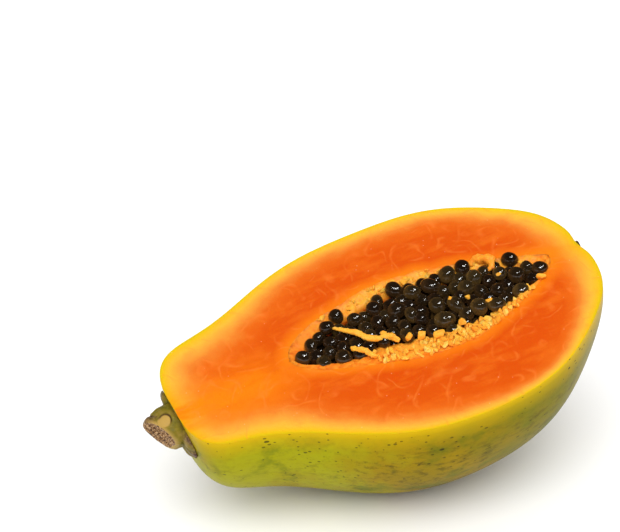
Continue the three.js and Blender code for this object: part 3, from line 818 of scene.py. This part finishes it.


# The dish: its top runs from edge to edge, and its underside follows the cavity. Tone is its yellowness, near
# 0 painted shade.
def dishBlocks(edge, near, far, angles):
    across = (1 - np.cos(np.linspace(0, math.pi, pulp["across"] + 1))) / 2
    top = near[:, None] * (1 - across)[None, :, None] + far[:, None] * across[None, :, None]
    flat = top.reshape(-1, 3)
    height, inside = pulpHeight(flat, edge)
    # it is smoother towards the stem end
    rough = pulp["fuzz"] * (0.35 + 0.65 * np.clip((flat[:, 0] - 66) / 14, 0, 1))
    lumps = waves(flat, 3.8, 31) + 0.3 * waves(flat, 2.2, 32)
    flat[:, 2] = height + rough * lumps * np.clip(inside / 1.5, 0, 1)
    # the edge is tucked into the flesh, so that no gap shows
    top[:, 0, 1] -= pulp["tuck"]
    top[:, -1, 1] += pulp["tuck"]
    top[:, [0, -1], 2] -= pulp["inset"]
    top[0, :, 0] -= pulp["tuck"]
    top[-1, :, 0] += pulp["tuck"]
    turns = np.linspace(0, 1, pulp["across"] + 1)
    bottom = cavitySurface(*np.meshgrid(angles, turns, indexing="ij"), inset=pulp["inset"])
    bottom[:, [0, -1]] = top[:, [0, -1]]
    bottom[[0, -1]] = top[[0, -1]]
    acrossShare = np.tile(across, len(top))
    nearYellow = np.exp(-((flat[:, 0] - 118) / 34) ** 4) * (1 - acrossShare)
    farYellow = np.exp(-((flat[:, 0] - 116) / 50) ** 4) * acrossShare
    yellow = 0.38 + 0.4 * np.clip(inside / 1.6, 0, 1) * (nearYellow + farYellow)
    # painted shade: the dish turns near black where it lies deep under the seeds, for the shade in the gaps
    # between them
    paintedShadeUnderSeeds = np.clip((-3.2 - flat[:, 2]) / 2.2, 0, 1)
    return [(top, [gridFaces(*top.shape[:2])], {"tone": yellow * (1 - paintedShadeUnderSeeds) + 0.03 * paintedShadeUnderSeeds}),
            (bottom, [gridFaces(*top.shape[:2], flip=True)], {"tone": 0.3})]


def makePulp():
    random = np.random.default_rng(4)
    angles = np.linspace(0, math.pi, pulp["along"] + 1)
    near, far = ragged(cavitySurface(angles, 0.0)), ragged(cavitySurface(angles, 1.0))
    edge = np.concatenate([near, far[::-1]])
    blocks = dishBlocks(edge, near, far, angles)
    ball, ballFaces = unitSphere(3)

    def addCrumb(place, sizes, axis, tone):
        blocks.append((crumb(random, ball, sizes, axis) + place, [ballFaces], {"tone": tone}))

    def onPulp(x, y, lift):
        level, _ = pulpHeight(np.array([[x, y, 0.0]]), edge)
        return np.array([x, y, level[0] + lift])

    first, step, uneven = pulp["grainRows"]
    for start, end, bands, spacing in pulp["grains"]:
        for x in np.arange(start, end, spacing):
            for band in range(bands):
                spotX = x + random.uniform(-0.5, 0.5) * spacing
                spotY = edgeAt(spotX, 0) + (first + step * band + random.uniform(-uneven, uneven))
                if spotY > np.interp(spotX, *np.array(seeds["nearEdge"]).T) - 0.8:
                    continue                            # the seeds are there
                length = random.uniform(*pulp["grainLength"])
                axis = (random.normal(0.3, 0.8), 1, random.uniform(-0.25, 0.25))
                addCrumb(onPulp(spotX, spotY, random.uniform(*pulp["grainLift"])),
                         (length, random.uniform(*pulp["grainWidth"]), random.uniform(*pulp["grainHeight"])),
                         axis, random.uniform(*pulp["grainTone"]))
    for k in range(pulp["farGrains"]):
        x = random.triangular(*pulp["farPlaces"])
        size = random.uniform(*pulp["farSize"])
        addCrumb(onPulp(x, edgeAt(x, 1) - random.uniform(*pulp["farInset"]), 0.05),
                 (size * random.uniform(1, 2.2), size, size * 0.7), random.normal(size=3) * [1, 0.6, 0.3],
                 random.uniform(*pulp["farTone"]))
    for x, y, z, size in pulp["crumbs"]:
        addCrumb((x, y, z), (size, size * 0.7, size * 0.65), random.normal(size=3) * [1, 1, 0.3], 0.75)
    for path, radius in pulp["strands"]:
        blocks.append((*strand(path, radius), {"tone": 0.8}))
    blocks.append((*strand(*pulp["curl"]), {"tone": 0.55}))
    piece = makePiece("papaya_pulp", *joinBlocks(blocks), [pulpMaterial()])
    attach(piece, "root")
    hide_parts("pulp_lining")
    return piece


makePulp()
print("stage: the pulp is made")


# The stub of the stalk, cut slantwise, with a leaf scar on it and the dried calyx round its foot.
stalk = {
    # x and radius, from the foot to the cut
    "profile": [(6, 11.5), (2, 10.2), (-1, 9.5), (-4, 9), (-6.5, 8), (-9, 7.6), (-13, 7.4), (-15, 6.4)],
    "sides": 160, "rings": 90, "capRings": 40,
    "cut": (-6.6, 0.47, 0.15),       # where the slanted cut meets the axis, and its slopes in y and z
    "flat": (225, 48, 0.19),         # the side that is less round: direction, width and share of the radius
    "scar": (-3.7, 108, 2.7, 0.5),   # x, direction in degrees, radius and depth
    "driedEnd": 3.6,                 # length of the shrunken end on the upper side
    "driedStep": (0.7, 0.16),        # depth and softness of the step down to it
    "cutEdge": (1.1, 0.5),           # how far the bark is rounded down at the cut, and over what length
    "swelling": (0.3, 1.6, 0.9),     # height of the low ring behind the cut, its distance and half width
    # the calyx is a ring on the skin with lobes: direction, half width and length of each
    "lobes": [(14, 36, 6.6), (188, 46, 5.8), (250, 26, 4.6), (304, 26, 5.6)],
    "calyx": {"from": 7.0, "ring": 9.6, "thickness": 2.3, "along": 300, "steps": 40},
}


# Papaya stalk: waxy olive-yellow bark, with a fibrous straw-brown cut end and a papery dry calyx.
def stalkMaterial():
    material, tree = newMaterial("driedPapayaStalk")
    place = addNode(tree, "Attribute", output="Vector", attribute_name="place")
    cutFace, dry, scar, dark = [addNode(tree, "Attribute", output="Fac", attribute_name=name)
                                for name in ("cutFace", "dry", "scar", "dark")]
    # bark clouds of 5 mm, and fibres of 1 mm
    cloud = addNode(tree, "TexNoise", {"Vector": place, "Scale": 0.2, "Detail": 5, "Roughness": 0.6})
    fibres = addNode(tree, "TexNoise", {"Vector": place, "Scale": 1.1, "Detail": 5, "Roughness": 0.7})
    bark = addNode(tree, "ValToRGB", (cloud,), ramp=[(0.32, "#5a5406"), (0.5, "#76670e"), (0.68, "#8c7430")])
    fibrous = addNode(tree, "ValToRGB", (fibres,),
                      ramp=[(0.38, "#1c0c05"), (0.44, "#58351a"), (0.52, "#9a7348"), (0.62, "#c8a67c")])
    papery = addNode(tree, "ValToRGB", (fibres,),
                     ramp=[(0.38, "#2b110e"), (0.5, "#59362c"), (0.64, "#94794c")])
    colour = bark
    # the dark layer is the scar's crescent, and painted shade where the bark meets the fruit
    for share, over in [(scar, "#b08d44"), (dry, papery), (cutFace, fibrous), (dark, "#2a1206")]:
        colour = addNode(tree, "Mix", (share, colour, over), data_type="RGBA")
    bump = addNode(tree, "Bump", {"Height": fibres, "Strength": 0.4, "Distance": 0.0004})
    surface = addNode(tree, "BsdfPrincipled", {"Base Color": colour, "Normal": bump, "Roughness": 0.5,
                                               "Specular IOR Level": 0.2})
    addNode(tree, "OutputMaterial", {"Surface": surface})
    return material


# a point of the bark: the profile's radius, with low lumps round it and one flatter side
def barkPoint(x, angle):
    xs, radii = np.array(stalk["profile"]).T
    fine = np.linspace(xs[-1], xs[0], 85)
    smoothed = np.interp(-fine, -xs, radii)
    for step in range(12):
        smoothed[1:-1] = (smoothed[:-2] + 2 * smoothed[1:-1] + smoothed[2:]) / 4
    radius = np.interp(x, fine, smoothed)
    radius = radius * (1 + 0.02 * np.sin(3 * angle + 1) + 0.012 * np.sin(5 * angle + 0.35 * x))
    direction, width, share = stalk["flat"]
    aside = np.degrees(np.mod(angle, 2 * math.pi)) - direction
    radius = radius * (1 - share * np.exp(-(aside / width) ** 2))
    return np.stack([x + 0 * angle, radius * np.cos(angle), fruit["stemZ"] + radius * np.sin(angle)], -1)


# 1 on the stub's upper far side and 0 on the others, where its end hasn't shrunk
def upperShare(points):
    return np.clip((points[..., 1] * 0.95 + (points[..., 2] - fruit["stemZ"]) * 0.3) / 4 - 0.3, 0, 1)


# the bark from its foot to the slanted cut, then the cut face in to its middle
def stubGrid():
    middle = fruit["stemZ"]
    foot = stalk["profile"][0][0]
    start, slopeY, slopeZ = stalk["cut"]
    turn = np.linspace(0, 2 * math.pi, stalk["sides"], endpoint=False)
    ends = np.full(len(turn), float(start))
    for step in range(30):
        at = barkPoint(ends, turn)
        ends = start - slopeY * at[:, 1] - slopeZ * (at[:, 2] - middle)
    share = np.linspace(0, 1, stalk["rings"] + 1)
    x = foot + (ends[None] - foot) * share[:, None]
    bark = barkPoint(x, np.broadcast_to(turn, x.shape))
    ridges = 0.10 * waves(bark * [0.25, 1, 1], 2.2, 40)
    # the end has dried and shrunk, with a step down to it on the upper side
    depth, softness = stalk["driedStep"]
    shrunk = depth * upperShare(bark) / (1 + np.exp((x - ends[None] - stalk["driedEnd"]) / softness))
    outward = bark - np.stack([x, 0 * x, 0 * x + middle], -1)
    outward /= np.linalg.norm(outward, axis=-1, keepdims=True)
    # the bark's cut edge is rounded over, with a low swelling behind it
    beforeCut = x - ends[None]
    fall, length = stalk["cutEdge"]
    height, distance, width = stalk["swelling"]
    edge = height * np.exp(-((beforeCut - distance) / width) ** 2) - fall * np.exp(-beforeCut / length)
    bark = bark + (ridges - shrunk + edge)[..., None] * outward
    # the foot stays below the cut through the fruit
    bark[..., 2] = np.minimum(bark[..., 2], -0.3 - 0.5 * np.clip(x + 0.5, 0, 3))
    rim = bark[-1]
    inward = np.linspace(0, 1, stalk["capRings"] + 1)[1:, None, None]
    cap = rim[None] * (1 - inward) + rim.mean(0) * inward
    normal = np.array([-1, -slopeY, -slopeZ]) / np.linalg.norm([1, slopeY, slopeZ])
    rough = 0.35 * waves(cap, 2.2, 41) + 0.35 * waves(cap, 1.1, 42) - 0.35 * np.clip(inward[..., 0] * 5, 0, 1)
    cap = cap + (rough * np.clip(inward[..., 0] * 9, 0, 1))[..., None] * normal
    grid = np.concatenate([bark, cap])
    isCut = np.zeros(grid.shape[:2])
    isCut[len(bark) - 1:] = 1
    return grid, isCut


# the leaf scar: a shallow round dent with a lip, and a dark crescent on its upper side
def scarOn(grid):
    x, direction, radius, depth = stalk["scar"]
    at = barkPoint(np.array(x), np.array(math.radians(direction)))
    outward = at - [x, 0, fruit["stemZ"]]
    outward /= np.linalg.norm(outward)
    away = np.linalg.norm(grid - at, axis=-1)
    inside = 1 / (1 + np.exp((away - radius) / 0.12))
    lip = 0.2 * np.exp(-((away - radius - 0.4) / 0.4) ** 2)
    towards = (grid - at) @ np.array([0.8, 0.55, 0.2]) / np.maximum(away, 0.01)
    crescent = np.exp(-((away - radius) / 0.3) ** 2) * np.clip(1.6 * towards + 0.4, 0, 1)
    return grid + (lip - depth * inside)[..., None] * outward, inside, crescent


# x of the fruit's skin at y and z near the stalk, from the four nearest points of a plain skin
def skinXAt(y, z):
    steps = np.meshgrid(np.linspace(0, math.pi / 3, 60), np.linspace(0, 1, 200), indexing="ij")
    skin = skinSurface(*steps, plain=True).reshape(-1, 3)
    found = []
    for block in np.array_split(np.stack([y.ravel(), z.ravel()], -1), 12):
        gap = ((block[:, None] - skin[None, :, 1:]) ** 2).sum(-1)
        nearest = np.argsort(gap, 1)[:, :4]
        weight = 1 / (np.take_along_axis(gap, nearest, 1) + 0.05)
        found.append((skin[nearest, 0] * weight).sum(1) / weight.sum(1))
    return np.concatenate(found).reshape(y.shape)


# a ring round the stalk that lies on the skin, thick at the stalk and thin at the tips of its lobes
def calyxGrid():
    calyx = stalk["calyx"]
    turn = np.linspace(0, 2 * math.pi, calyx["along"], endpoint=False)
    aside = [(np.degrees(turn) - direction + 180) % 360 - 180 for direction, width, length in stalk["lobes"]]
    outer = np.full(len(turn), calyx["ring"])
    for away, (direction, width, length) in zip(aside, stalk["lobes"]):
        outer = outer + length * np.clip(1 - (np.abs(away) / width) ** 1.7, 0, 1) ** 0.9
    outer = outer + 0.25 * np.sin(23 * turn) * np.clip(outer - calyx["ring"], 0, 1)
    # it ends below the cut through the fruit
    highest = (-0.35 - fruit["stemZ"]) / np.maximum(np.sin(turn), 1e-3)
    outer = np.where(np.sin(turn) > 0, np.minimum(outer, highest), outer)
    share = np.linspace(0, 1, calyx["steps"] + 1)[:, None]
    reach = calyx["from"] + (np.maximum(outer, calyx["from"] + 0.6) - calyx["from"])[None] * share
    y = reach * np.cos(turn)
    z = fruit["stemZ"] + reach * np.sin(turn)
    skinX = skinXAt(y, z)
    # the first lobe, which stands up beside the cut, is plumper and less dry than the others
    plump = np.exp(-(aside[0] / 40) ** 2)[None]
    long = np.clip((outer - calyx["ring"]) / 5, 0, 1)[None]
    thick = calyx["thickness"] * (1 - share ** (2.4 + 2.6 * plump)) ** 0.8 * (0.35 + 0.65 * long)
    thick = thick * (1 - 0.22 * plump)
    ridges = 0.16 * np.sin(9 * turn + 5 * share) + 0.1 * np.sin(31 * turn)
    lift = 0.3 * long * share ** 3                    # the tips stand off a little
    outside = np.stack([skinX - thick - lift - ridges * share * (1 - share) * 3 - 0.12, y, z], -1)
    inside = np.stack([skinX - lift + 0.25 - 0.15 * share, y, z], -1)
    dry = np.clip(0.05 + 0.85 * share ** 4 + 0.6 * np.sin(11 * turn + 2) * share ** 1.5, 0, 1)
    return outside, inside, dry * (0.4 + 0.6 * long) * (1 - 0.65 * plump)


def makeStalk():
    grid, isCut = stubGrid()
    grid, inScar, crescent = scarOn(grid)
    start, slopeY, slopeZ = stalk["cut"]
    # painted shade: the bark is darker close to the fruit, in the crevice where it meets the calyx
    foot = np.clip((grid[..., 0] + 0.2) / 2.2, 0, 1) * 0.6          # the bark is darker close to the fruit
    beforeCut = grid[..., 0] - start + slopeY * grid[..., 1] + slopeZ * (grid[..., 2] - fruit["stemZ"])
    driedEnd = np.clip((stalk["driedEnd"] - beforeCut) / 0.5, 0, 1) * upperShare(grid) * (1 - isCut)
    tanRim = np.exp(-(beforeCut / 0.9) ** 2) * (1 - isCut)
    # the stub is closed inside the fruit by a fan of triangles to one last point
    rows, columns = isCut.shape
    first = np.arange(columns)
    fan = np.stack([first, np.roll(first, -1), np.full(columns, rows * columns)], -1)
    stubPoints = np.concatenate([grid.reshape(-1, 3), [[stalk["profile"][0][0], 0, fruit["stemZ"]]]])
    stubValues = {"cutFace": isCut, "dry": 0.75 * driedEnd, "scar": np.maximum(inScar, tanRim),
                  "dark": np.maximum(crescent, foot)}
    stubValues = {label: np.append(parts.ravel(), 0) for label, parts in stubValues.items()}
    # the calyx's outside and inside are joined round its inner and its outer edge
    outside, inside, dry = calyxGrid()
    rings, sides = dry.shape
    strips = []
    for ring in (0, rings - 1):
        here = ring * sides + np.arange(sides)
        after = np.roll(here, -1)
        strips.append(np.stack([here, here + dry.size, after + dry.size, after], -1))
    points, faces, values = joinBlocks([
        (stubPoints, [ringFaces(rows, columns), fan], stubValues),
        (np.stack([outside, inside]),
         [ringFaces(rings, sides), ringFaces(rings, sides, dry.size, True), *strips],
         {"cutFace": 0, "dry": np.stack([dry, dry]), "scar": 0, "dark": 0}),
    ])
    piece = makePiece("papaya_stalk", points, faces, values, [stalkMaterial()])
    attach(piece, "root")
    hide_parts("stalk")
    return piece


makeStalk()
print("stage: the stalk and calyx are made")
